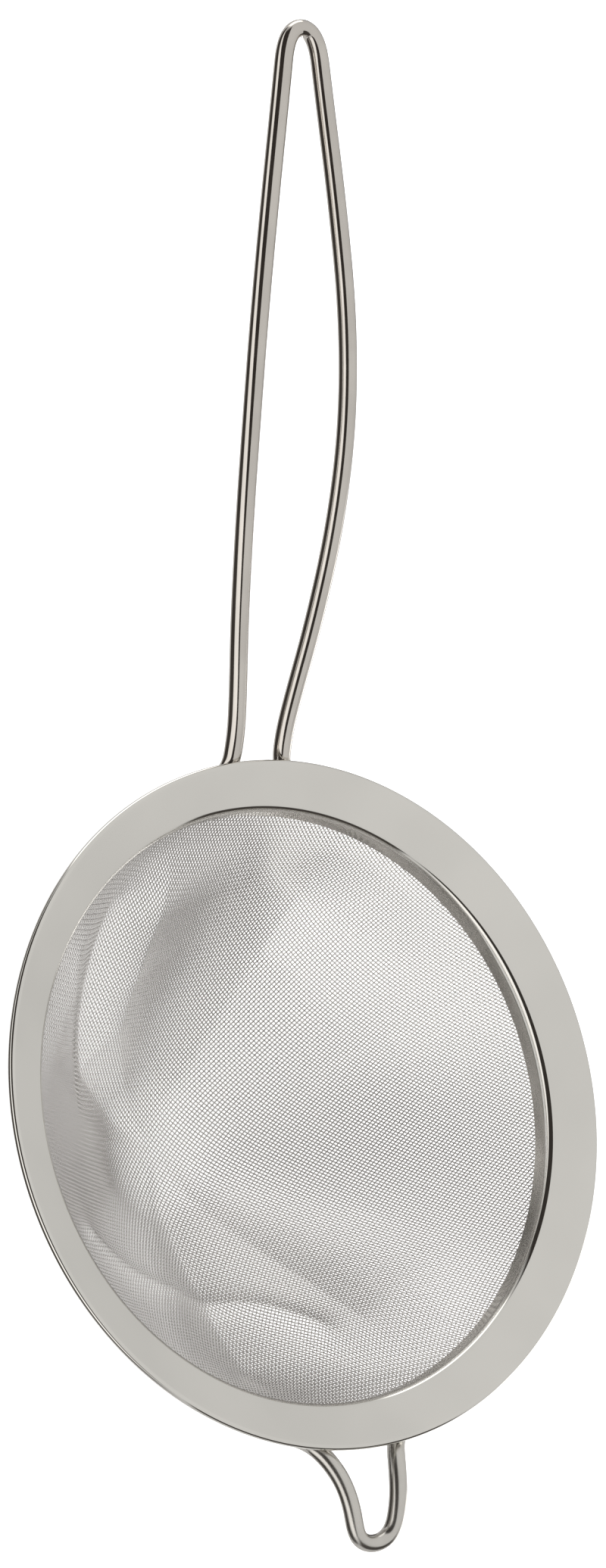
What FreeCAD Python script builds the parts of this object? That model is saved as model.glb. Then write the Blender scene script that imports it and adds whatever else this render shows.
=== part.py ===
import FreeCAD, Part
import os
from math import cos, pi, radians, sin, tan

from FreeCAD import Vector

# Tea strainer: a drawn bowl of woven wire held in a pressed, hemmed rim, with a bent
# wire handle on one side and a small wire rest hook on the other.
# The rim's axis is Z and the bowl opens upwards. Z = 0 is the plane that the rim's top
# edge touches, the origin is the rim's centre, the handle points to +Y and the hook to -Y.

# Driving dimensions, in millimetres and degrees
rim_outer_d = 93.2        # across the rolled outer edge
collar_inner_d = 80.2     # clear opening inside the drawn collar
sheet_t = 0.35            # steel sheet of the flange and of the backing ring
flange_slope = 27.4       # the flange is dished down towards the bowl
collar_bottom_z = -6.0    # lower edge of the collar inside the bowl
hem_return = 2.4          # width of the hem's turned-back leg
bend_r = 1.0              # visible radius between flange and collar
edge_r = 0.5              # visible radius of the hemmed edge
play = 0.02               # clearance between pressed layers
cloth_play = 0.08         # room on each side of the cloth in its grip
cloth_t = 0.4             # two crossing wires of 0.2
bowl_bottom_z = -42.5     # lowest point of the wire cloth
bowl_tip_r = 18.0         # the cloth's rounded bottom
bowl_wall_r = 150.0       # the slight outward bulge of its conical wall
handle_wire_d = 2.5
hook_wire_d = 2.4
weld_sink = 0.04          # how far a wire foot is fused into the hem

rim_r = rim_outer_d / 2
collar_r = collar_inner_d / 2
fall = tan(radians(flange_slope))
layer_z = sheet_t / cos(radians(flange_slope))
crown = edge_r * (fall + 1 / cos(radians(flange_slope)) - 1)
hem_h = 3 * layer_z + 2 * play
grip_gap = cloth_t + 2 * cloth_play
ring_lip_r = collar_r + sheet_t + grip_gap

AXIS_START = Vector(0, 0, 0)
AXIS_DIR = Vector(0, 0, 1)


def flange_z(radius, below=0.0):
    """Height of the dished flange's top face, or of a layer that far below it."""
    return crown - (rim_r - radius) * fall - below


def rounded_path(corners, radii):
    """Edges of straight runs through the corners, joined by tangent arcs."""
    edges = []
    start = corners[0]
    for before, corner, after, radius in zip(corners, corners[1:], corners[2:], radii):
        back = (before - corner).normalize()
        ahead = (after - corner).normalize()
        half_turn = (pi - back.getAngle(ahead)) / 2
        cut = radius * tan(half_turn)
        arc_start = corner + back * cut
        arc_end = corner + ahead * cut
        bisector = (back + ahead).normalize()
        arc_mid = corner + bisector * (radius / cos(half_turn) - radius)
        edges.append(Part.LineSegment(start, arc_start).toShape())
        edges.append(Part.Arc(arc_start, arc_mid, arc_end).toShape())
        start = arc_end
    edges.append(Part.LineSegment(start, corners[-1]).toShape())
    return edges


def offset_corners(corners, radii, thickness):
    """The same path moved to its right-hand side in the XZ plane, and its radii."""
    sides = []
    for a, b in zip(corners, corners[1:]):
        along = (b - a).normalize()
        sides.append((along, Vector(along.z, 0, -along.x) * thickness))
    moved = [corners[0] + sides[0][1]]
    moved_radii = []
    for corner, radius, first, second in zip(corners[1:], radii, sides, sides[1:]):
        turn = first[0].cross(second[0]).y
        bisector = (first[1] + second[1]).normalize()
        reach = thickness / cos(first[1].getAngle(second[1]) / 2)
        moved.append(corner + bisector * reach)
        moved_radii.append(radius - thickness if turn > 0 else radius + thickness)
    moved.append(corners[-1] + sides[-1][1])
    return moved, moved_radii


def spun_sheet(corners, radii, thickness):
    """A bent sheet turned about the rim's axis, from its section's visible side."""
    inner, inner_radii = offset_corners(corners, radii, thickness)
    edges = rounded_path(corners, radii)
    edges.append(Part.LineSegment(corners[-1], inner[-1]).toShape())
    edges += rounded_path(inner[::-1], inner_radii[::-1])
    edges.append(Part.LineSegment(inner[0], corners[0]).toShape())
    section = Part.Face(Part.Wire(Part.__sortEdges__(edges)))
    return section.revolve(AXIS_START, AXIS_DIR, 360)


def bent_wire(corners, radii, diameter):
    """A round wire along a path of runs and tangent arcs."""
    path = Part.Wire(rounded_path(corners, radii))
    start_dir = corners[1] - corners[0]
    circle = Part.Circle(corners[0], start_dir, diameter / 2)
    sweep = Part.BRepOffsetAPI.MakePipeShell(path)
    sweep.setFrenetMode(False)
    sweep.add(Part.Wire(circle.toShape()))
    sweep.build()
    sweep.makeSolid()
    solid = sweep.shape()
    expected = pi * diameter ** 2 / 4 * path.Length
    print("wire length %.1f, volume %.2f of %.2f" % (path.Length, solid.Volume, expected))
    return solid


def smooth_radii(corners, share=0.45):
    """The largest radius that each corner's two runs allow."""
    radii = []
    for before, corner, after in zip(corners, corners[1:], corners[2:]):
        back = before - corner
        ahead = after - corner
        half_turn = (pi - back.getAngle(ahead)) / 2
        radii.append(share * min(back.Length, ahead.Length) / tan(half_turn))
    return radii


def mirrored(half):
    """The whole path of a wire whose second leg mirrors its first across X = 0."""
    return half + [Vector(-p.x, p.y, p.z) for p in reversed(half)]


def foot_point(angle, side, wire_d, inward=0.0):
    """A point of a wire foot under the hem, or that far inward along the flange's slope."""
    contact_r = rim_r - hem_return
    reach = wire_d / 2 - weld_sink
    centre_r = contact_r + reach * sin(radians(flange_slope)) - inward
    centre_z = flange_z(contact_r, hem_h) - reach * cos(radians(flange_slope)) - inward * fall
    turn = radians(angle)
    return Vector(centre_r * sin(turn), side * centre_r * cos(turn), centre_z)


def make_rim_flange():
    """Dished flange with its drawn collar and its outer edge hemmed under."""
    corners = [
        Vector(collar_r, 0, collar_bottom_z),
        Vector(collar_r, 0, flange_z(collar_r)),
        Vector(rim_r, 0, flange_z(rim_r)),
        Vector(rim_r, 0, flange_z(rim_r, hem_h)),
        Vector(rim_r - hem_return, 0, flange_z(rim_r - hem_return, hem_h)),
    ]
    return spun_sheet(corners, [bend_r, edge_r, edge_r], sheet_t)


def make_backing_ring():
    """Ring under the flange, caught in the hem, whose lip grips the cloth."""
    below = layer_z + play
    outer_r = rim_r - 2 * edge_r
    lip_bottom_z = collar_bottom_z + 0.6
    corners = [
        Vector(ring_lip_r, 0, lip_bottom_z),
        Vector(ring_lip_r, 0, flange_z(ring_lip_r, below)),
        Vector(outer_r, 0, flange_z(outer_r, below)),
    ]
    return spun_sheet(corners, [bend_r - sheet_t], sheet_t)


def make_mesh_bowl():
    """Envelope of the wire cloth: a straight margin in the grip, then a rounded cone."""
    inner_r = collar_r + sheet_t + cloth_play
    outer_r = inner_r + cloth_t
    margin_top_z = flange_z(collar_r, layer_z) - bend_r
    shoulder = Vector(outer_r, 0, collar_bottom_z - cloth_t)
    tip_centre = Vector(0, 0, bowl_bottom_z + bowl_tip_r)
    to_tip = tip_centre - shoulder
    gap_r = bowl_wall_r - bowl_tip_r
    along = (bowl_wall_r ** 2 - gap_r ** 2 + to_tip.Length ** 2) / (2 * to_tip.Length)
    across = (bowl_wall_r ** 2 - along ** 2) ** 0.5
    to_tip.normalize()
    wall_centre = shoulder + to_tip * along + Vector(to_tip.z, 0, -to_tip.x) * across
    to_joint = (tip_centre - wall_centre).normalize()

    def wall_point(radius, reach):
        drop = (radius ** 2 - (reach - wall_centre.x) ** 2) ** 0.5
        return Vector(reach, 0, wall_centre.z - drop)

    def tip_point(radius, turn):
        return tip_centre + Vector(radius * sin(turn), 0, -radius * cos(turn))

    half_turn = Vector(0, 0, -1).getAngle(to_joint) / 2
    outer_joint = tip_centre + to_joint * bowl_tip_r
    inner_tip_r = bowl_tip_r - cloth_t
    inner_wall_r = bowl_wall_r - cloth_t
    inner_joint = tip_centre + to_joint * inner_tip_r
    inner_shoulder = wall_point(inner_wall_r, inner_r)
    mid_reach = (outer_r + outer_joint.x) / 2
    margin_out = Vector(outer_r, 0, margin_top_z)
    margin_in = Vector(inner_r, 0, margin_top_z)
    outer_low = tip_point(bowl_tip_r, 0)
    inner_low = tip_point(inner_tip_r, 0)
    edges = [
        Part.LineSegment(margin_out, shoulder).toShape(),
        Part.Arc(shoulder, wall_point(bowl_wall_r, mid_reach), outer_joint).toShape(),
        Part.Arc(outer_joint, tip_point(bowl_tip_r, half_turn), outer_low).toShape(),
        Part.LineSegment(outer_low, inner_low).toShape(),
        Part.Arc(inner_low, tip_point(inner_tip_r, half_turn), inner_joint).toShape(),
        Part.Arc(inner_joint, wall_point(inner_wall_r, mid_reach), inner_shoulder).toShape(),
        Part.LineSegment(inner_shoulder, margin_in).toShape(),
        Part.LineSegment(margin_in, margin_out).toShape(),
    ]
    section = Part.Face(Part.Wire(edges))
    return section.revolve(AXIS_START, AXIS_DIR, 360)


def make_handle_wire():
    """One wire: foot, bellied leg rising from the rim, tight tip, leg and foot."""
    half = [
        foot_point(24, 1, handle_wire_d),
        foot_point(15, 1, handle_wire_d),
        Vector(4.2, 45.1, -3.4),
        Vector(3.85, 49.6, -0.9),
        Vector(4.4, 54.2, 1.8),
        Vector(6.05, 63.8, 7.45),
        Vector(7.35, 75.5, 13.95),
        Vector(7.75, 88.0, 19.8),
        Vector(7.1, 101.5, 24.5),
        Vector(5.4, 116.0, 28.4),
        Vector(3.5, 129.5, 31.75),
        Vector(2.35, 138.3, 33.95),
    ]
    corners = mirrored(half)
    return bent_wire(corners, smooth_radii(corners), handle_wire_d)


def make_rest_hook():
    """One wire: foot, leg arching out over the cup's edge, round tip, leg and foot."""
    half = [
        foot_point(23, -1, hook_wire_d, 1.3),
        foot_point(13, -1, hook_wire_d, -0.15),
        Vector(6.5, -44.9, -3.5),
        Vector(4.55, -49.5, -1.1),
        Vector(3.7, -54.0, -0.7),
        Vector(2.95, -58.7, -2.5),
    ]
    corners = mirrored(half)
    return bent_wire(corners, smooth_radii(corners), hook_wire_d)


nodes = {
    "rim_flange": make_rim_flange(),
    "backing_ring": make_backing_ring(),
    "mesh_bowl": make_mesh_bowl(),
    "handle_wire": make_handle_wire(),
    "rest_hook": make_rest_hook(),
}

os.makedirs("parts", exist_ok=True)
for name, shape in nodes.items():
    shape.exportStep("parts/%s.step" % name)
    box = shape.BoundBox
    print("%-13s valid %s volume %8.1f  z %.2f..%.2f y %.2f..%.2f" % (
        name, shape.isValid(), shape.Volume, box.ZMin, box.ZMax, box.YMin, box.YMax))
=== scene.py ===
import math

import bpy
import numpy as np
from mathutils import Matrix, Vector


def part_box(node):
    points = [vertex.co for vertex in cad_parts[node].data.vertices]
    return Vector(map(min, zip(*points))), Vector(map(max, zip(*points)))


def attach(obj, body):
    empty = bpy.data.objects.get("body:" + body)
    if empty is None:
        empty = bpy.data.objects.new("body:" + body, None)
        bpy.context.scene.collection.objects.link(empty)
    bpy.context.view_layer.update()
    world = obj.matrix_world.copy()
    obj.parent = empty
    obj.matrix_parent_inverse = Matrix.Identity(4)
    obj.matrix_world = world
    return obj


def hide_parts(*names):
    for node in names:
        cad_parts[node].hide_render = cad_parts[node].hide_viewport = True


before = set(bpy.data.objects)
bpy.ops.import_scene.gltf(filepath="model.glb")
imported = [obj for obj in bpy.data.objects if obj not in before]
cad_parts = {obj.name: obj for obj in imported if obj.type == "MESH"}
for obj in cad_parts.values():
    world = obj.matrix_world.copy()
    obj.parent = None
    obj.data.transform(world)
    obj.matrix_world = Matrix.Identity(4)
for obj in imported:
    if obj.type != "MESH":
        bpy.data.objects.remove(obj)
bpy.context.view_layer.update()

# Tea strainer: a bowl of woven wire in a hemmed steel rim, with a wire handle and hook.
# Blender's metres are the frame's; the cloth and the wires are worked out in millimetres.
MM = 0.001
rng = np.random.default_rng(7)


# ---------------------------------------------------------------- camera
CAMERA_AIM = Vector((0.0054, 0.043, 0.0))
CAMERA_DISTANCE = 0.566
CAMERA_BEARING = 18.2
CAMERA_DOWN = 53.7
CAMERA_ROLL = 8.7
CAMERA_LENS = 95.6


def make_camera():
    """Above the strainer's -X side, rolled so that the handle points up the picture."""
    bearing = math.radians(CAMERA_BEARING)
    down = math.radians(CAMERA_DOWN)
    roll = math.radians(CAMERA_ROLL)
    level = math.cos(down)
    forward = Vector((level * math.cos(bearing), level * math.sin(bearing), -math.sin(down)))
    handle_way = Vector((0.0, 1.0, 0.0))
    unrolled_up = (handle_way - forward * forward.dot(handle_way)).normalized()
    up = unrolled_up * math.cos(roll) + forward.cross(unrolled_up) * math.sin(roll)
    right = forward.cross(up)
    data = bpy.data.cameras.new("camera")
    data.lens = CAMERA_LENS
    data.sensor_width = 36.0
    data.clip_start = 0.01
    data.clip_end = 20.0
    camera = bpy.data.objects.new("camera", data)
    turn = Matrix((right, up, -forward)).transposed().to_4x4()
    place = CAMERA_AIM - forward * CAMERA_DISTANCE
    camera.matrix_world = Matrix.Translation(place) @ turn
    bpy.context.scene.collection.objects.link(camera)
    bpy.context.scene.camera = camera


# ---------------------------------------------------------------- node helpers
class Nodes:
    """A short way to build a node tree."""

    def __init__(self, tree):
        self.tree = tree
        tree.nodes.clear()

    def add(self, kind, **inputs):
        node = self.tree.nodes.new(kind)
        for key, value in inputs.items():
            name = key.replace("_", " ")
            if hasattr(value, "is_output"):
                self.tree.links.new(value, node.inputs[name])
            else:
                node.inputs[name].default_value = value
        return node

    def math(self, operation, a, b=None):
        node = self.tree.nodes.new("ShaderNodeMath")
        node.operation = operation
        for socket, value in zip(node.inputs, (a, b)):
            if value is None:
                continue
            if hasattr(value, "is_output"):
                self.tree.links.new(value, socket)
            else:
                socket.default_value = value
        return node.outputs[0]

    def dot(self, vector, direction):
        node = self.tree.nodes.new("ShaderNodeVectorMath")
        node.operation = "DOT_PRODUCT"
        self.tree.links.new(vector, node.inputs[0])
        node.inputs[1].default_value = Vector(direction).normalized()
        return node.outputs["Value"]

    def ramp(self, value, low, high, out_low=0.0, out_high=1.0, smooth=True):
        node = self.tree.nodes.new("ShaderNodeMapRange")
        node.interpolation_type = "SMOOTHSTEP" if smooth else "LINEAR"
        self.tree.links.new(value, node.inputs["Value"])
        node.inputs["From Min"].default_value = low
        node.inputs["From Max"].default_value = high
        node.inputs["To Min"].default_value = out_low
        node.inputs["To Max"].default_value = out_high
        return node.outputs["Result"]

    def sector(self, turn, start, end, soft):
        """1 between two bearings in degrees, fading over soft degrees inside each."""
        rise = self.ramp(turn, math.radians(start), math.radians(start + soft))
        fall = self.ramp(turn, math.radians(end - soft), math.radians(end), 1.0, 0.0)
        return self.math("MULTIPLY", rise, fall)

    def layer(self, up, start, full, fading, end):
        """1 between two elevations in degrees, fading at its lower and upper edge."""
        rise = self.ramp(up, elevation(start), elevation(full))
        fall = self.ramp(up, elevation(fading), elevation(end), 1.0, 0.0)
        return self.math("MULTIPLY", fall, rise)

    def noise(self, vector, scale, detail=3.0, roughness=0.5, stretch=(1, 1, 1)):
        mapping = self.add("ShaderNodeMapping", Vector=vector)
        mapping.inputs["Scale"].default_value = stretch
        node = self.add("ShaderNodeTexNoise", Scale=scale, Detail=detail, Roughness=roughness)
        self.tree.links.new(mapping.outputs[0], node.inputs["Vector"])
        return node.outputs["Fac"]

    def mix_colour(self, fac, a, b):
        node = self.tree.nodes.new("ShaderNodeMix")
        node.data_type = "RGBA"
        self.tree.links.new(fac, node.inputs["Factor"])
        for socket, value in ((node.inputs[6], a), (node.inputs[7], b)):
            if hasattr(value, "is_output"):
                self.tree.links.new(value, socket)
            else:
                socket.default_value = (*value, 1.0)
        return node.outputs[2]


# ---------------------------------------------------------------- studio
def elevation(degrees):
    """The upward part of a direction at this elevation."""
    return math.sin(math.radians(degrees))


def make_world():
    """Pale surround; bright and dark panels on the -X side, and smaller ones low round it."""
    world = bpy.data.worlds.new("studio")
    bpy.context.scene.world = world
    world.use_nodes = True
    n = Nodes(world.node_tree)
    direction = n.add("ShaderNodeTexCoord").outputs["Generated"]
    up = n.dot(direction, (0, 0, 1))
    side = n.dot(direction, (-1, 0, 0))
    along = n.dot(direction, (0, 1, 0))
    spread = n.ramp(n.math("ABSOLUTE", along), 0.80, 0.95, 1.0, 0.0)
    tilt = n.math("ARCTAN2", up, side)
    slanted = n.math("ADD", tilt, n.math("MULTIPLY", along, 0.42))
    low = n.ramp(tilt, math.radians(-18), math.radians(-8))
    seam = n.ramp(slanted, math.radians(22), math.radians(27))
    high = n.ramp(tilt, math.radians(65.5), math.radians(68), 1.0, 0.0)
    dark = n.math("MULTIPLY", n.math("MULTIPLY", seam, high), spread)
    bright = n.math("MULTIPLY", low, n.math("SUBTRACT", 1.0, seam))
    bright = n.math("MULTIPLY", bright, spread)
    # low down, dark and bright panels stand round the strainer by turns
    turn = n.math("ARCTAN2", along, n.math("MULTIPLY", side, -1.0))
    near = n.math("MULTIPLY", n.sector(turn, -102, -34, 5), n.layer(up, -16, -8, 25, 30))
    under = n.math("MULTIPLY", n.sector(turn, 8, 56, 5), n.layer(up, -50, -42, -24, -16))
    left = n.math("MULTIPLY", n.ramp(side, 0.15, 0.35), n.math("SUBTRACT", 1.0, low))
    left = n.math("MULTIPLY", left, n.ramp(tilt, math.radians(-72), math.radians(-62)))
    below = n.math("MAXIMUM", n.math("MAXIMUM", near, under), left)
    lit_height = n.ramp(up, elevation(-5), elevation(1), 1.0, 0.0)
    lit = n.math("MULTIPLY", n.sector(turn, -30, -4, 5), lit_height)
    far = n.math("MULTIPLY", n.sector(turn, 60, 108, 6), n.layer(up, -18, -10, 14, 20))
    level = n.ramp(up, elevation(-20), elevation(60), 0.62, 0.73)
    tone = n.mix_colour(bright, (1.0, 0.99, 0.975), (1.75, 1.72, 1.68))
    tone = n.mix_colour(dark, tone, (0.055, 0.048, 0.043))
    tone = n.mix_colour(lit, tone, (3.6, 3.55, 3.5))
    tone = n.mix_colour(far, tone, (2.9, 2.86, 2.8))
    tone = n.mix_colour(below, tone, (0.09, 0.08, 0.072))
    background = n.add("ShaderNodeBackground", Color=tone, Strength=level)
    output = n.add("ShaderNodeOutputWorld")
    n.tree.links.new(background.outputs[0], output.inputs["Surface"])


def make_lights():
    """One large overhead panel, which lights the floor and doesn't mirror in the steel."""
    data = bpy.data.lights.new("overhead", "AREA")
    data.shape = "DISK"
    data.size = 1.6
    data.energy = 9.0
    lamp = bpy.data.objects.new("overhead", data)
    lamp.location = (0.1, 0.1, 1.3)
    lamp.visible_glossy = False
    bpy.context.scene.collection.objects.link(lamp)


def make_floor():
    """Plain pale floor under the bowl."""
    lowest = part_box("mesh_bowl")[0].z
    half = 6.0
    mesh = bpy.data.meshes.new("floor")
    corners = [(x, y, lowest) for x, y in ((-half, -half), (half, -half), (half, half), (-half, half))]
    mesh.from_pydata(corners, [], [(0, 1, 2, 3)])
    floor = bpy.data.objects.new("floor", mesh)
    bpy.context.scene.collection.objects.link(floor)
    floor.visible_glossy = False
    material = bpy.data.materials.new("floor_white")
    material.use_nodes = True
    n = Nodes(material.node_tree)
    where = n.add("ShaderNodeTexCoord").outputs["Object"]
    grain = n.noise(where, 40.0)
    paint = n.mix_colour(grain, (0.86, 0.86, 0.86), (0.88, 0.88, 0.88))
    shader = n.add("ShaderNodeBsdfPrincipled", Base_Color=paint, Roughness=0.9)
    shader.inputs["Specular IOR Level"].default_value = 0.1
    shader.inputs["Emission Color"].default_value = (1, 1, 1, 1)
    shader.inputs["Emission Strength"].default_value = 0.62
    n.add("ShaderNodeOutputMaterial", Surface=shader.outputs[0])
    mesh.materials.append(material)


def make_glow():
    """White shell close under the bowl that shows only in the steel, as a lit table does."""
    lo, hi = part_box("mesh_bowl")
    section = ((16.0, lo.z / MM + 4.0), (43.5, -11.0))
    count = 24
    vertices = []
    for radius, height in section:
        for k in range(count + 1):
            turn = math.radians(120 + 120 * k / count)
            vertices.append((radius * math.cos(turn) * MM, radius * math.sin(turn) * MM, height * MM))
    low, high = 0, count + 1
    faces = [(low + k, low + k + 1, high + k + 1, high + k) for k in range(count)]
    mesh = bpy.data.meshes.new("under_card")
    mesh.from_pydata(vertices, [], faces)
    card = bpy.data.objects.new("under_card", mesh)
    bpy.context.scene.collection.objects.link(card)
    card.visible_camera = False
    card.visible_diffuse = False
    card.visible_shadow = False
    card.visible_transmission = False
    material = bpy.data.materials.new("card_white")
    material.use_nodes = True
    n = Nodes(material.node_tree)
    glow = n.add("ShaderNodeEmission", Strength=1.0)
    n.add("ShaderNodeOutputMaterial", Surface=glow.outputs[0])
    mesh.materials.append(material)


# ---------------------------------------------------------------- materials
def steel(name, tint, rough_low, rough_high, marks, grain_scale, stretch=(1, 1, 1)):
    """Stainless steel whose gloss and colour drift a little, with fine marks."""
    material = bpy.data.materials.new(name)
    material.use_nodes = True
    n = Nodes(material.node_tree)
    where = n.add("ShaderNodeTexCoord").outputs["Object"]
    cloud = n.noise(where, 55.0, 2.0)
    fine = n.noise(where, grain_scale, 4.0, 0.6, stretch)
    darker = tuple(0.94 * c for c in tint)
    colour = n.mix_colour(n.ramp(cloud, 0.3, 0.7), darker, tint)
    blend = n.math("ADD", n.math("MULTIPLY", cloud, 0.5), n.math("MULTIPLY", fine, 0.5))
    rough = n.ramp(blend, 0.35, 0.65, rough_low, rough_high, smooth=False)
    bump = n.add("ShaderNodeBump", Strength=marks, Distance=0.00002, Height=fine)
    shader = n.add("ShaderNodeBsdfPrincipled", Base_Color=colour, Roughness=rough)
    shader.inputs["Metallic"].default_value = 1.0
    n.tree.links.new(bump.outputs[0], shader.inputs["Normal"])
    n.add("ShaderNodeOutputMaterial", Surface=shader.outputs[0])
    return material


# ---------------------------------------------------------------- wire cloth
CLOTH_T = 0.4
TIP_R = 18.0
WALL_R = 150.0
WIRE_D = 0.18
WARP_AZIMUTH = -43.0
WEFT_AZIMUTH = 47.0
WARP_STEP = 0.56
WEFT_STEP = 0.50
DRAWN_SHARE = 0.65


def bowl_section():
    """The cloth's middle surface in half section, bottom to margin, as radii and heights."""
    lo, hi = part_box("mesh_bowl")
    radius = hi.x / MM - CLOTH_T / 2
    bottom = lo.z / MM + CLOTH_T / 2
    top = hi.z / MM
    shoulder = complex(radius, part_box("rim_flange")[0].z / MM - CLOTH_T)
    tip_r = TIP_R - CLOTH_T / 2
    wall_r = WALL_R - CLOTH_T / 2
    tip_centre = complex(0.0, bottom + tip_r)
    to_tip = tip_centre - shoulder
    reach = abs(to_tip)
    along = (wall_r ** 2 - (wall_r - tip_r) ** 2 + reach ** 2) / (2 * reach)
    across = math.sqrt(wall_r ** 2 - along ** 2)
    unit = to_tip / reach
    wall_centre = shoulder + unit * along - 1j * unit * across
    if wall_centre.imag < 0 and wall_centre.real > 0:
        wall_centre = shoulder + unit * along + 1j * unit * across
    joint_dir = (tip_centre - wall_centre) / abs(tip_centre - wall_centre)
    joint_angle = np.angle(joint_dir)
    tip_angles = np.linspace(-math.pi / 2, joint_angle, 120)
    tip = tip_centre + tip_r * np.exp(1j * tip_angles)
    end_angle = np.angle(shoulder - wall_centre)
    wall_angles = np.linspace(joint_angle, end_angle, 240)[1:]
    wall = wall_centre + wall_r * np.exp(1j * wall_angles)
    margin = radius + 1j * np.linspace(shoulder.imag, top + 30.0, 60)[1:]
    curve = np.concatenate([tip, wall, margin])
    return curve.real, curve.imag, top


SECTION_R, SECTION_Z, CLOTH_TOP = bowl_section()
SECTION_S = np.concatenate([[0.0], np.cumsum(np.hypot(np.diff(SECTION_R), np.diff(SECTION_Z)))])
SECTION_TURN = np.arctan2(SECTION_R, -SECTION_Z)
SECTION_REACH = np.hypot(SECTION_R, SECTION_Z)


# the drawn cloth stands in broad soft folds: bearing in degrees near the rim, bearing
# half way down, and how far the fold stands out or in, in mm
FOLDS = (
    (-116, -116, 0.0),
    (-101, -101, 1.6),
    (-66, -66, -2.2),
    (-30, -30, 0.0),
    (22, 22, 0.0),
    (66, 64, 1.8),
    (107, 126, -3.2),
    (123, 150, 0.2),
    (138, 170, -1.9),
    (225, 225, 0.0),
)
# one sharper crease runs round the hook side: nearest the middle at one bearing, it swings out
# gently towards its left end and late towards its right end
CREASE_DEPTH = 0.9
CREASE_WIDTH = 1.7
CREASE_R = 23.5
CREASE_MIDDLE = -105.0
CREASE_LEFT_END = -152.0
CREASE_RIGHT_END = -76.0
CREASE_LEFT_SWING = 5.5
CREASE_RIGHT_SWING = 7.5


def crease_points(steps=12):
    """Points along the crease, in plan."""
    share = np.linspace(0.0, 1.0, steps + 1)
    left = CREASE_MIDDLE + (CREASE_LEFT_END - CREASE_MIDDLE) * share[:0:-1]
    right = CREASE_MIDDLE + (CREASE_RIGHT_END - CREASE_MIDDLE) * share
    left_r = CREASE_R + CREASE_LEFT_SWING * share[:0:-1] ** 2
    right_r = CREASE_R + CREASE_RIGHT_SWING * share ** 4
    bearing = np.radians(np.concatenate([left, right]))
    radius = np.concatenate([left_r, right_r])
    return list(zip(radius * np.cos(bearing), radius * np.sin(bearing)))


def from_line(x, y, points):
    """Distance in plan from a line through points."""
    nearest = np.full(np.shape(x), 1e6)
    for (ax, ay), (bx, by) in zip(points, points[1:]):
        dx, dy = bx - ax, by - ay
        share = np.clip(((x - ax) * dx + (y - ay) * dy) / (dx * dx + dy * dy), 0.0, 1.0)
        nearest = np.minimum(nearest, np.hypot(x - ax - share * dx, y - ay - share * dy))
    return nearest


def dents(x, y):
    """How far the drawn cloth stands out of its true bowl at a place, in mm."""
    radius = np.hypot(x, y)
    azimuth = np.degrees(np.arctan2(y, x))
    azimuth = np.where(azimuth < -120.0, azimuth + 360.0, azimuth)
    inside = np.clip((39.8 - radius) / 7.5, 0.0, 1.0)
    inside = inside * inside * (3.0 - 2.0 * inside)
    down = np.clip((36.0 - radius) / 16.0, 0.0, 1.0)
    out = np.zeros(np.shape(radius))
    for (high_a, low_a, stand_a), (high_b, low_b, stand_b) in zip(FOLDS, FOLDS[1:]):
        start = high_a + (low_a - high_a) * down
        end = high_b + (low_b - high_b) * down
        share = np.clip((azimuth - start) / (end - start), 0.0, 1.0)
        eased = share * share * (3.0 - 2.0 * share)
        out = out + (stand_b - stand_a) * (0.5 * share + 0.5 * eased)
    out = out * np.clip(radius / 26.0, 0.0, 1.0) ** 1.5
    gap = from_line(x, y, crease_points()) / CREASE_WIDTH
    out = out - CREASE_DEPTH * np.exp(-np.sqrt(gap * gap + 0.12) + 0.35)
    return out * inside


def off_surface(p):
    """How far a point lies outside the smooth bowl, in mm."""
    radius = np.hypot(p[..., 0], p[..., 1])
    turn = np.arctan2(radius, -p[..., 2])
    reach = np.linalg.norm(p, axis=-1)
    return reach - np.interp(turn, SECTION_TURN, SECTION_REACH)


def meridian(azimuth, lengths):
    """Points on the cloth at these lengths from its bottom, in one direction."""
    radius = np.interp(lengths, SECTION_S, SECTION_R)
    height = np.interp(lengths, SECTION_S, SECTION_Z)
    angle = math.radians(azimuth)
    points = np.stack([radius * math.cos(angle), radius * math.sin(angle), height], axis=-1)
    points[lengths > SECTION_S[-1]] = np.nan
    return points


def unit(v):
    """The same directions, one long."""
    return v / np.maximum(np.linalg.norm(v, axis=-1, keepdims=True), 1e-12)


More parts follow.
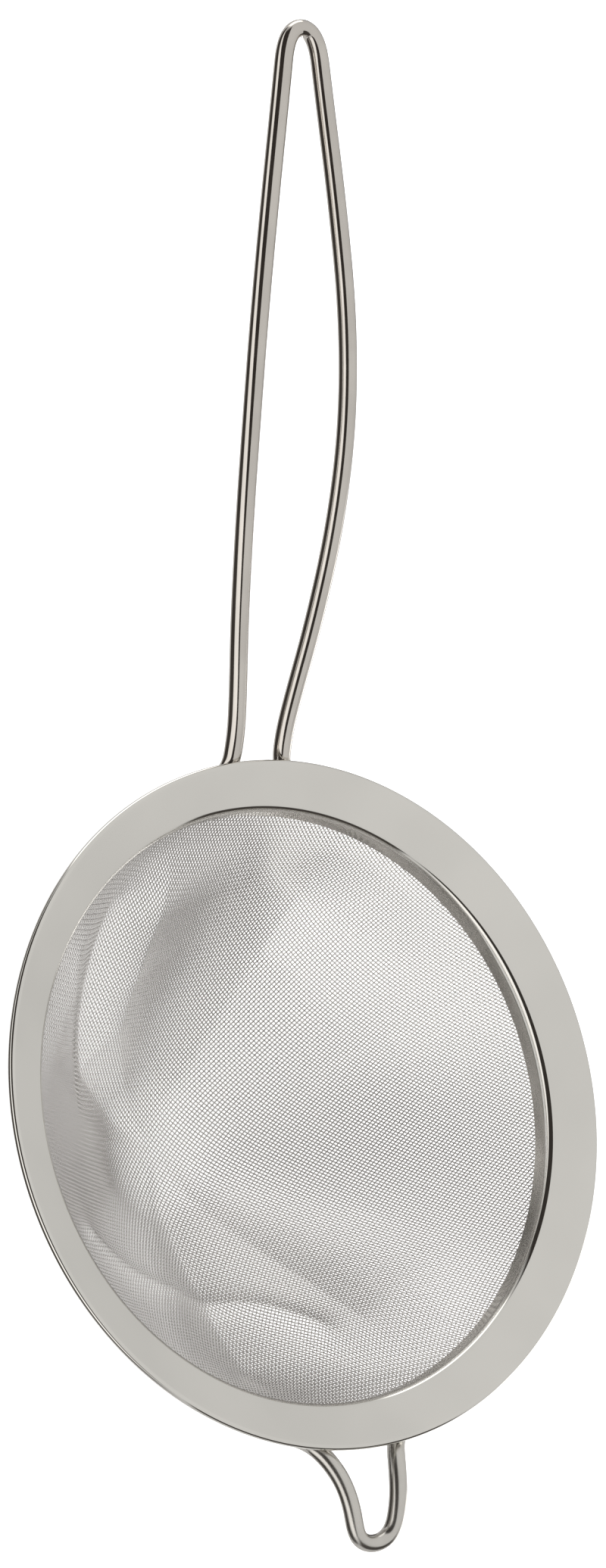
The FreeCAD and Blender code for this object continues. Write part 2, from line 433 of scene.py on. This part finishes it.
def fill_quadrant(warp_axis, weft_axis, warp_gaps, weft_gaps):
    """Crossings of one quarter of the cloth: each lies one gap from both its neighbours."""
    rows, columns = len(warp_axis), len(weft_axis)
    grid = np.full((rows, columns, 3), np.nan)
    grid[:, 0] = warp_axis
    grid[0, :] = weft_axis
    for diagonal in range(2, rows + columns - 1):
        i = np.arange(max(1, diagonal - columns + 1), min(rows, diagonal))
        j = diagonal - i
        a, b, back = grid[i - 1, j], grid[i, j - 1], grid[i - 1, j - 1]
        ready = ~np.isnan(a[:, 0] + b[:, 0] + back[:, 0])
        if not ready.any():
            continue
        i, j, a, b, back = i[ready], j[ready], a[ready], b[ready], back[ready]
        gap_a, gap_b = warp_gaps[i - 1], weft_gaps[j - 1]
        span = np.linalg.norm(b - a, axis=1)
        along = (gap_a ** 2 - gap_b ** 2 + span ** 2) / (2 * span)
        height = np.sqrt(np.maximum(gap_a ** 2 - along ** 2, 1e-6))
        axis = (b - a) / span[:, None]
        centre = a + axis * along[:, None]
        ahead = (a + b) / 2 - back
        ahead = unit(ahead - axis * (ahead * axis).sum(1)[:, None])
        lift = np.cross(axis, ahead)

        def place(angle):
            swing = np.cos(angle)[:, None] * ahead + np.sin(angle)[:, None] * lift
            return centre + height[:, None] * swing

        old, new = np.zeros(len(i)), np.full(len(i), 0.02)
        miss_old, miss_new = off_surface(place(old)), off_surface(place(new))
        for _ in range(8):
            slope = miss_new - miss_old
            slope = np.where(np.abs(slope) < 1e-9, 1e-9, slope)
            step = np.clip(-miss_new * (new - old) / slope, -0.5, 0.5)
            old, miss_old = new, miss_new
            new = new + step
            miss_new = off_surface(place(new))
        point = place(new)
        good = (np.abs(miss_new) < 0.02) & (point[:, 2] < CLOTH_TOP + 24.0)
        grid[i[good], j[good]] = point[good]
    return grid


def onto_surface(points):
    """Moves points along the line from the rim's centre onto the bowl and its folds."""
    radius = np.hypot(points[..., 0], points[..., 1])
    turn = np.arctan2(radius, -points[..., 2])
    reach = np.interp(turn, SECTION_TURN, SECTION_REACH) + dents(points[..., 0], points[..., 1])
    return points * (reach / np.linalg.norm(points, axis=-1))[..., None]


def spread_evenly(places_i, places_j):
    """The same crossings if the cloth kept its spacing only away from its middle."""
    flat_i, flat_j = np.meshgrid(places_i, places_j, indexing="ij")
    warp_turn, weft_turn = math.radians(WARP_AZIMUTH), math.radians(WEFT_AZIMUTH)
    flat_x = flat_i * math.cos(warp_turn) + flat_j * math.cos(weft_turn)
    flat_y = flat_i * math.sin(warp_turn) + flat_j * math.sin(weft_turn)
    away = np.hypot(flat_x, flat_y)
    radius = np.interp(away, SECTION_S, SECTION_R)
    height = np.interp(away, SECTION_S, SECTION_Z)
    scale = radius / np.maximum(away, 1e-6)
    points = np.stack([flat_x * scale, flat_y * scale, height], axis=-1)
    points[away > SECTION_S[-1]] = np.nan
    return points


def weave():
    """Every crossing of the cloth, part sheared as unstretched cloth would be, part drawn."""
    reach = SECTION_S[-1] + 1.0
    count_i = int(reach / WARP_STEP) + 1
    count_j = int(reach / WEFT_STEP) + 1
    gaps_i = WARP_STEP * (1.0 + rng.normal(0.0, 0.012, 2 * count_i))
    gaps_j = WEFT_STEP * (1.0 + rng.normal(0.0, 0.012, 2 * count_j))
    halves = []
    for turn_i in (0, 1):
        row = []
        for turn_j in (0, 1):
            gi = gaps_i[turn_i * count_i:(turn_i + 1) * count_i]
            gj = gaps_j[turn_j * count_j:(turn_j + 1) * count_j]
            axis_i = meridian(WARP_AZIMUTH + 180 * turn_i, np.concatenate([[0.0], np.cumsum(gi)]))
            axis_j = meridian(WEFT_AZIMUTH + 180 * turn_j, np.concatenate([[0.0], np.cumsum(gj)]))
            row.append(fill_quadrant(axis_i, axis_j, gi, gj))
        halves.append(row)
    upper = np.concatenate([halves[0][1][:, :0:-1], halves[0][0]], axis=1)
    lower = np.concatenate([halves[1][1][:, :0:-1], halves[1][0]], axis=1)
    sheared = np.concatenate([lower[:0:-1], upper], axis=0)
    places = []
    for gaps, count in ((gaps_i, count_i), (gaps_j, count_j)):
        places.append(np.concatenate([-np.cumsum(gaps[count:])[::-1], [0.0], np.cumsum(gaps[:count])]))
    drawn = spread_evenly(*places)
    grid = onto_surface(sheared * (1.0 - DRAWN_SHARE) + drawn * DRAWN_SHARE)
    grid[~(grid[..., 2] < CLOTH_TOP - 0.1)] = np.nan
    return grid


def steps_along(grid, axis):
    """Central differences that stop at the cloth's edge."""
    ahead = np.roll(grid, -1, axis)
    behind = np.roll(grid, 1, axis)
    ahead = np.where(np.isnan(ahead), grid, ahead)
    behind = np.where(np.isnan(behind), grid, behind)
    return ahead - behind


def wires(name, centres, normals, axis, keep):
    """Round wires through the kept crossings along one axis of the grid."""
    valid = ~np.isnan(centres[..., 0]) & keep
    follow = np.roll(valid, -1, axis) & valid
    lead = np.roll(valid, 1, axis) & valid
    if axis == 0:
        follow[-1] = False
        lead[0] = False
    else:
        follow[:, -1] = False
        lead[:, 0] = False
    valid = follow | lead
    number = np.full(valid.shape, -1)
    number[valid] = np.arange(valid.sum())
    tangent = unit(steps_along(np.where(valid[..., None], centres, np.nan), axis)[valid])
    side = unit(np.cross(tangent, normals[valid]))
    lift = np.cross(side, tangent)
    sides = 6
    angles = np.arange(sides) * 2 * math.pi / sides
    ring = (np.cos(angles)[None, :, None] * side[:, None] + np.sin(angles)[None, :, None] * lift[:, None])
    points = centres[valid][:, None] + ring * (WIRE_D / 2)
    start = number[follow]
    end = np.roll(number, -1, axis)[follow]
    k = np.arange(sides)
    k_next = (k + 1) % sides
    quads = np.stack([
        start[:, None] * sides + k,
        start[:, None] * sides + k_next,
        end[:, None] * sides + k_next,
        end[:, None] * sides + k,
    ], axis=-1).reshape(-1, 4)
    first = number[valid & ~lead]
    last = number[valid & ~follow]
    caps = np.concatenate([first[:, None] * sides + k[::-1], last[:, None] * sides + k])
    mesh = bpy.data.meshes.new(name)
    mesh.vertices.add(len(points) * sides)
    mesh.vertices.foreach_set("co", (points * MM).ravel())
    loops = np.concatenate([quads.ravel(), caps.ravel()])
    starts = np.concatenate([
        np.arange(len(quads)) * 4,
        len(quads) * 4 + np.arange(len(caps)) * sides,
    ])
    mesh.loops.add(len(loops))
    mesh.loops.foreach_set("vertex_index", loops.astype(np.int32))
    mesh.polygons.add(len(starts))
    mesh.polygons.foreach_set("loop_start", starts.astype(np.int32))
    mesh.update(calc_edges=True)
    mesh.polygons.foreach_set("use_smooth", np.ones(len(starts), bool))
    piece = bpy.data.objects.new(name, mesh)
    bpy.context.scene.collection.objects.link(piece)
    return piece


def make_cloth(material):
    """Plain weave: each wire passes over one crossing wire and under the next."""
    grid = weave()
    normals = unit(np.cross(steps_along(grid, 0), steps_along(grid, 1)))
    rows, columns = np.indices(grid.shape[:2])
    over = np.where((rows + columns) % 2 == 0, 1.0, -1.0)[..., None]
    rise = WIRE_D / 2 * 1.02
    warp = grid + normals * over * rise
    weft = grid - normals * over * rise
    middle_row = grid.shape[0] // 2
    middle_column = grid.shape[1] // 2
    for name, centres, axis, keep in (
        ("mesh_warp_left", warp, 0, columns < middle_column),
        ("mesh_warp_right", warp, 0, columns >= middle_column),
        ("mesh_weft_front", weft, 1, rows < middle_row),
        ("mesh_weft_back", weft, 1, rows >= middle_row),
    ):
        piece = wires(name, centres, normals, axis, keep)
        piece.data.materials.append(material)
        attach(piece, "root")
        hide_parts("mesh_bowl")


# ---------------------------------------------------------------- pressed rim
SHEET_T = 0.35
SLOPE = math.radians(27.4)
FALL = math.tan(SLOPE)
RIM_R = 46.6
COLLAR_R = 40.1
COLLAR_BOTTOM = -6.0
BEND_R = 1.4
EDGE_R = 0.5
HEM_RETURN = 2.4
CROWN = EDGE_R * (FALL + 1 / math.cos(SLOPE) - 1)
HEM_H = 3 * SHEET_T / math.cos(SLOPE) + 0.04


def flange_z(radius, below=0.0):
    """Height of the flange's top face, or of a layer that far below it."""
    return CROWN - (RIM_R - radius) * FALL - below


def rounded(corners, radii, arc_steps, run_step):
    """Points along straight runs and tangent arcs, in the section's plane."""
    points = [corners[0]]

    def run_to(end):
        start = points[-1]
        pieces = max(1, int(abs(end - start) / run_step))
        for k in range(1, pieces + 1):
            points.append(start + (end - start) * k / pieces)

    for before, corner, after, radius in zip(corners, corners[1:], corners[2:], radii):
        back = (before - corner) / abs(before - corner)
        ahead = (after - corner) / abs(after - corner)
        half = abs(np.angle(ahead / back)) / 2
        cut = radius / math.tan(half)
        middle = (back + ahead) / abs(back + ahead)
        centre = corner + middle * radius / math.sin(half)
        run_to(corner + back * cut)
        start_turn = np.angle(corner + back * cut - centre)
        sweep_turn = np.angle((corner + ahead * cut - centre) / (corner + back * cut - centre))
        for k in range(1, arc_steps + 1):
            points.append(centre + radius * np.exp(1j * (start_turn + sweep_turn * k / arc_steps)))
    run_to(corners[-1])
    return points


def offset(corners, radii, thickness):
    """The same path moved by the sheet's thickness to its inner side."""
    sides = []
    for a, b in zip(corners, corners[1:]):
        along = (b - a) / abs(b - a)
        sides.append((along, -1j * along * thickness))
    moved, moved_radii = [corners[0] + sides[0][1]], []
    for corner, radius, first, second in zip(corners[1:], radii, sides, sides[1:]):
        turn = (first[0].conjugate() * second[0]).imag
        middle = (first[1] + second[1]) / abs(first[1] + second[1])
        reach = thickness / math.cos(np.angle(second[1] / first[1]) / 2)
        moved.append(corner + middle * reach)
        moved_radii.append(radius + thickness if turn > 0 else radius - thickness)
    moved.append(corners[-1] + sides[-1][1])
    return moved, moved_radii


def make_rim(material):
    """The hemmed flange and its collar, spun finely, as true as pressed sheet is."""
    corners = [
        complex(COLLAR_R, COLLAR_BOTTOM),
        complex(COLLAR_R, flange_z(COLLAR_R)),
        complex(RIM_R, flange_z(RIM_R)),
        complex(RIM_R, flange_z(RIM_R, HEM_H)),
        complex(RIM_R - HEM_RETURN, flange_z(RIM_R - HEM_RETURN, HEM_H)),
    ]
    radii = [BEND_R, EDGE_R, EDGE_R]
    outside = rounded(corners, radii, 14, 0.7)
    back_corners, back_radii = offset(corners, radii, SHEET_T)
    inside = rounded(back_corners, back_radii, 10, 1.2)
    section = np.array(outside + inside[::-1])
    count = 640
    turns = np.arange(count) * 2 * math.pi / count
    radius = section.real[None, :]
    height = section.imag[None, :]
    # pressed sheet is never quite true: the flange rises and falls a few hundredths
    share = np.clip((radius - COLLAR_R) / (RIM_R - COLLAR_R), 0.0, 1.0)
    ripple = 0.010 * np.sin(3 * turns + 0.7) + 0.006 * np.sin(7 * turns + 2.1)
    dip = 0.010 * np.sin(2 * turns + 1.9)
    height = height - share * (1 - share) * 4 * np.abs(ripple[:, None]) - share * np.abs(dip[:, None])
    xyz = np.stack([
        radius * np.cos(turns)[:, None],
        radius * np.sin(turns)[:, None],
        height,
    ], axis=-1)
    width = len(section)
    around = np.arange(count)
    step = np.arange(width)
    a = (around[:, None] * width + step).ravel()
    b = (around[:, None] * width + (step + 1) % width).ravel()
    c = ((around[:, None] + 1) % count * width + (step + 1) % width).ravel()
    d = ((around[:, None] + 1) % count * width + step).ravel()
    quads = np.stack([a, d, c, b], axis=1)
    mesh = bpy.data.meshes.new("rim_sheet")
    mesh.vertices.add(count * width)
    mesh.vertices.foreach_set("co", (xyz * MM).ravel())
    mesh.loops.add(quads.size)
    mesh.loops.foreach_set("vertex_index", quads.ravel().astype(np.int32))
    mesh.polygons.add(len(quads))
    mesh.polygons.foreach_set("loop_start", (np.arange(len(quads)) * 4).astype(np.int32))
    mesh.update(calc_edges=True)
    mesh.polygons.foreach_set("use_smooth", np.ones(len(quads), bool))
    mesh.set_sharp_from_angle(angle=math.radians(40))
    piece = bpy.data.objects.new("rim_sheet", mesh)
    bpy.context.scene.collection.objects.link(piece)
    piece.data.materials.append(material)
    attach(piece, "root")
    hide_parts("rim_flange")


# ---------------------------------------------------------------- bent wires
HANDLE_WIRE_D = 2.5
HOOK_WIRE_D = 2.4
WELD_SINK = 0.04


def foot_point(angle, side, wire_d, inward=0.0):
    """A point of a wire foot under the hem, as the CAD model has it."""
    contact_r = RIM_R - HEM_RETURN
    reach = wire_d / 2 - WELD_SINK
    centre_r = contact_r + reach * math.sin(SLOPE) - inward
    centre_z = flange_z(contact_r, HEM_H) - reach * math.cos(SLOPE) - inward * FALL
    turn = math.radians(angle)
    return (centre_r * math.sin(turn), side * centre_r * math.cos(turn), centre_z)


def smooth_path(half, spacing=0.25, softness=4):
    """Even points on one smooth curve drawn to a mirrored half path's corners."""
    corners = np.array(half + [(-x, y, z) for x, y, z in reversed(half)])
    middles = (corners[1:] + corners[:-1]) / 2
    parts = [corners[:1]]
    t = np.linspace(0.0, 1.0, 60)[:, None]
    for before, corner, after in zip(middles, corners[1:-1], middles[1:]):
        parts.append((1 - t) ** 2 * before + 2 * t * (1 - t) * corner + t ** 2 * after)
    parts.append(corners[-1:])
    dense = np.concatenate(parts)
    for _ in range(2):
        lengths = np.concatenate([[0.0], np.cumsum(np.linalg.norm(np.diff(dense, axis=0), axis=1))])
        even = np.linspace(0.0, lengths[-1], int(lengths[-1] / spacing))
        dense = np.stack([np.interp(even, lengths, dense[:, k]) for k in range(3)], axis=1)
        padded = np.pad(dense, ((softness, softness), (0, 0)), mode="reflect", reflect_type="odd")
        window = np.hanning(2 * softness + 3)[1:-1]
        window /= window.sum()
        dense = np.stack([np.convolve(padded[:, k], window, "valid") for k in range(3)], axis=1)
    return dense


def sweep(name, path, diameter, squeeze):
    """A round wire along a path with rounded ends, flattened where it is bent tightly."""
    sides = 32
    tangents = unit(np.gradient(path, axis=0))
    side = np.cross(tangents[0], (0.0, 0.0, 1.0))
    frames = []
    for tangent in tangents:
        side = side - tangent * (side @ tangent)
        side = side / np.linalg.norm(side)
        frames.append((side, np.cross(tangent, side)))
    sides_v = np.array([f[0] for f in frames])
    lifts = np.array([f[1] for f in frames])
    bend = np.gradient(tangents, axis=0) / np.linalg.norm(np.gradient(path, axis=0), axis=1)[:, None]
    angles = np.arange(sides) * 2 * math.pi / sides
    ring = np.cos(angles)[None, :, None] * sides_v[:, None] + np.sin(angles)[None, :, None] * lifts[:, None]
    curvature = np.linalg.norm(bend, axis=1)
    inward = bend / np.maximum(curvature, 1e-9)[:, None]
    flat = np.clip(curvature / 0.35, 0.0, 1.0) * squeeze
    across = (ring * inward[:, None]).sum(-1, keepdims=True)
    ring = ring - inward[:, None] * across * flat[:, None, None]
    radius = diameter / 2
    rings = path[:, None] + ring * radius
    ends = []
    for index, sign in ((0, -1.0), (-1, 1.0)):
        cap = []
        for turn in np.radians((75, 50, 25)):
            centre = path[index] + sign * tangents[index] * radius * math.cos(turn) * 0.6
            cap.append(centre + ring[index] * radius * math.sin(turn))
        ends.append(cap[::-1] if sign < 0 else cap)
    rings = np.concatenate([np.array(ends[0]), rings, np.array(ends[1])])
    count = len(rings)
    run = np.concatenate([[0.0], np.cumsum(np.linalg.norm(np.diff(rings.mean(1), axis=0), axis=1))])
    vertices = (rings * MM).reshape(-1, 3)
    faces = []
    uvs = []
    for i in range(count - 1):
        for k in range(sides):
            k2 = (k + 1) % sides
            faces.append((i * sides + k, i * sides + k2, (i + 1) * sides + k2, (i + 1) * sides + k))
            u, u2 = k / sides, (k + 1) / sides
            v, v2 = run[i] * MM, run[i + 1] * MM
            uvs += [(u, v), (u2, v), (u2, v2), (u, v2)]
    for first, order in ((0, range(sides - 1, -1, -1)), ((count - 1) * sides, range(sides))):
        faces.append(tuple(first + k for k in order))
        uvs += [(0.5, 0.0)] * sides
    mesh = bpy.data.meshes.new(name)
    mesh.from_pydata([tuple(v) for v in vertices], [], faces)
    layer = mesh.uv_layers.new(name="along")
    layer.data.foreach_set("uv", np.array(uvs).ravel())
    mesh.polygons.foreach_set("use_smooth", np.ones(len(faces), bool))
    piece = bpy.data.objects.new(name, mesh)
    bpy.context.scene.collection.objects.link(piece)
    return piece


def make_handle(material):
    """The long pointed loop, from its foot along one leg to the tip, and mirrored."""
    half = [
        foot_point(24, 1, HANDLE_WIRE_D),
        foot_point(15, 1, HANDLE_WIRE_D),
        (4.2, 45.1, -3.4),
        (3.85, 49.6, -0.9),
        (4.4, 54.2, 1.8),
        (6.05, 63.8, 7.45),
        (7.35, 75.5, 13.95),
        (7.75, 88.0, 19.8),
        (7.1, 101.5, 24.5),
        (5.4, 116.0, 28.4),
        (3.5, 129.5, 31.75),
        (2.35, 138.3, 33.95),
    ]
    piece = sweep("handle_loop", smooth_path(half), HANDLE_WIRE_D, 0.06)
    piece.data.materials.append(material)
    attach(piece, "root")
    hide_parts("handle_wire")


def make_hook(material):
    """The small rest hook opposite, made in the same way."""
    half = [
        foot_point(23, -1, HOOK_WIRE_D, 1.3),
        foot_point(13, -1, HOOK_WIRE_D, -0.15),
        (6.5, -44.9, -3.5),
        (4.55, -49.5, -1.1),
        (3.7, -54.0, -0.7),
        (2.75, -58.9, -2.55),
    ]
    piece = sweep("hook_loop", smooth_path(half, softness=7), HOOK_WIRE_D, 0.05)
    piece.data.materials.append(material)
    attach(piece, "root")
    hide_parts("rest_hook")


def drawn_steel(name, tint, rough_low, rough_high, marks):
    """Drawn stainless wire, with faint lines along its length."""
    material = bpy.data.materials.new(name)
    material.use_nodes = True
    n = Nodes(material.node_tree)
    coordinates = n.add("ShaderNodeTexCoord")
    lines = n.noise(coordinates.outputs["UV"], 1.0, 3.0, 0.6, (60.0, 350.0, 1.0))
    cloud = n.noise(coordinates.outputs["Object"], 120.0, 3.0)
    darker = tuple(0.92 * c for c in tint)
    colour = n.mix_colour(n.ramp(cloud, 0.35, 0.65), darker, tint)
    blend = n.math("ADD", n.math("MULTIPLY", cloud, 0.6), n.math("MULTIPLY", lines, 0.4))
    rough = n.ramp(blend, 0.35, 0.65, rough_low, rough_high, smooth=False)
    bump = n.add("ShaderNodeBump", Strength=marks, Distance=0.00002, Height=lines)
    shader = n.add("ShaderNodeBsdfPrincipled", Base_Color=colour, Roughness=rough)
    shader.inputs["Metallic"].default_value = 1.0
    n.tree.links.new(bump.outputs[0], shader.inputs["Normal"])
    n.add("ShaderNodeOutputMaterial", Surface=shader.outputs[0])
    return material


# ---------------------------------------------------------------- build
make_camera()
make_world()
make_lights()
make_floor()
make_glow()

sheet_steel = steel("sheet_steel", (0.80, 0.785, 0.745), 0.06, 0.10, 0.02, 900.0)
ring_steel = steel("ring_steel", (0.74, 0.73, 0.70), 0.20, 0.28, 0.05, 900.0)
wire_steel = drawn_steel("wire_steel", (0.70, 0.665, 0.62), 0.07, 0.12, 0.05)
hook_steel = drawn_steel("hook_steel", (0.70, 0.68, 0.64), 0.20, 0.28, 0.06)
cloth_steel = steel("cloth_steel", (0.85, 0.835, 0.82), 0.12, 0.20, 0.0, 2000.0)

make_cloth(cloth_steel)
make_handle(wire_steel)
make_hook(hook_steel)
make_rim(sheet_steel)
backing_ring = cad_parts["backing_ring"]
backing_ring.data.materials.clear()
backing_ring.data.materials.append(ring_steel)

bpy.context.scene.view_settings.view_transform = "Standard"
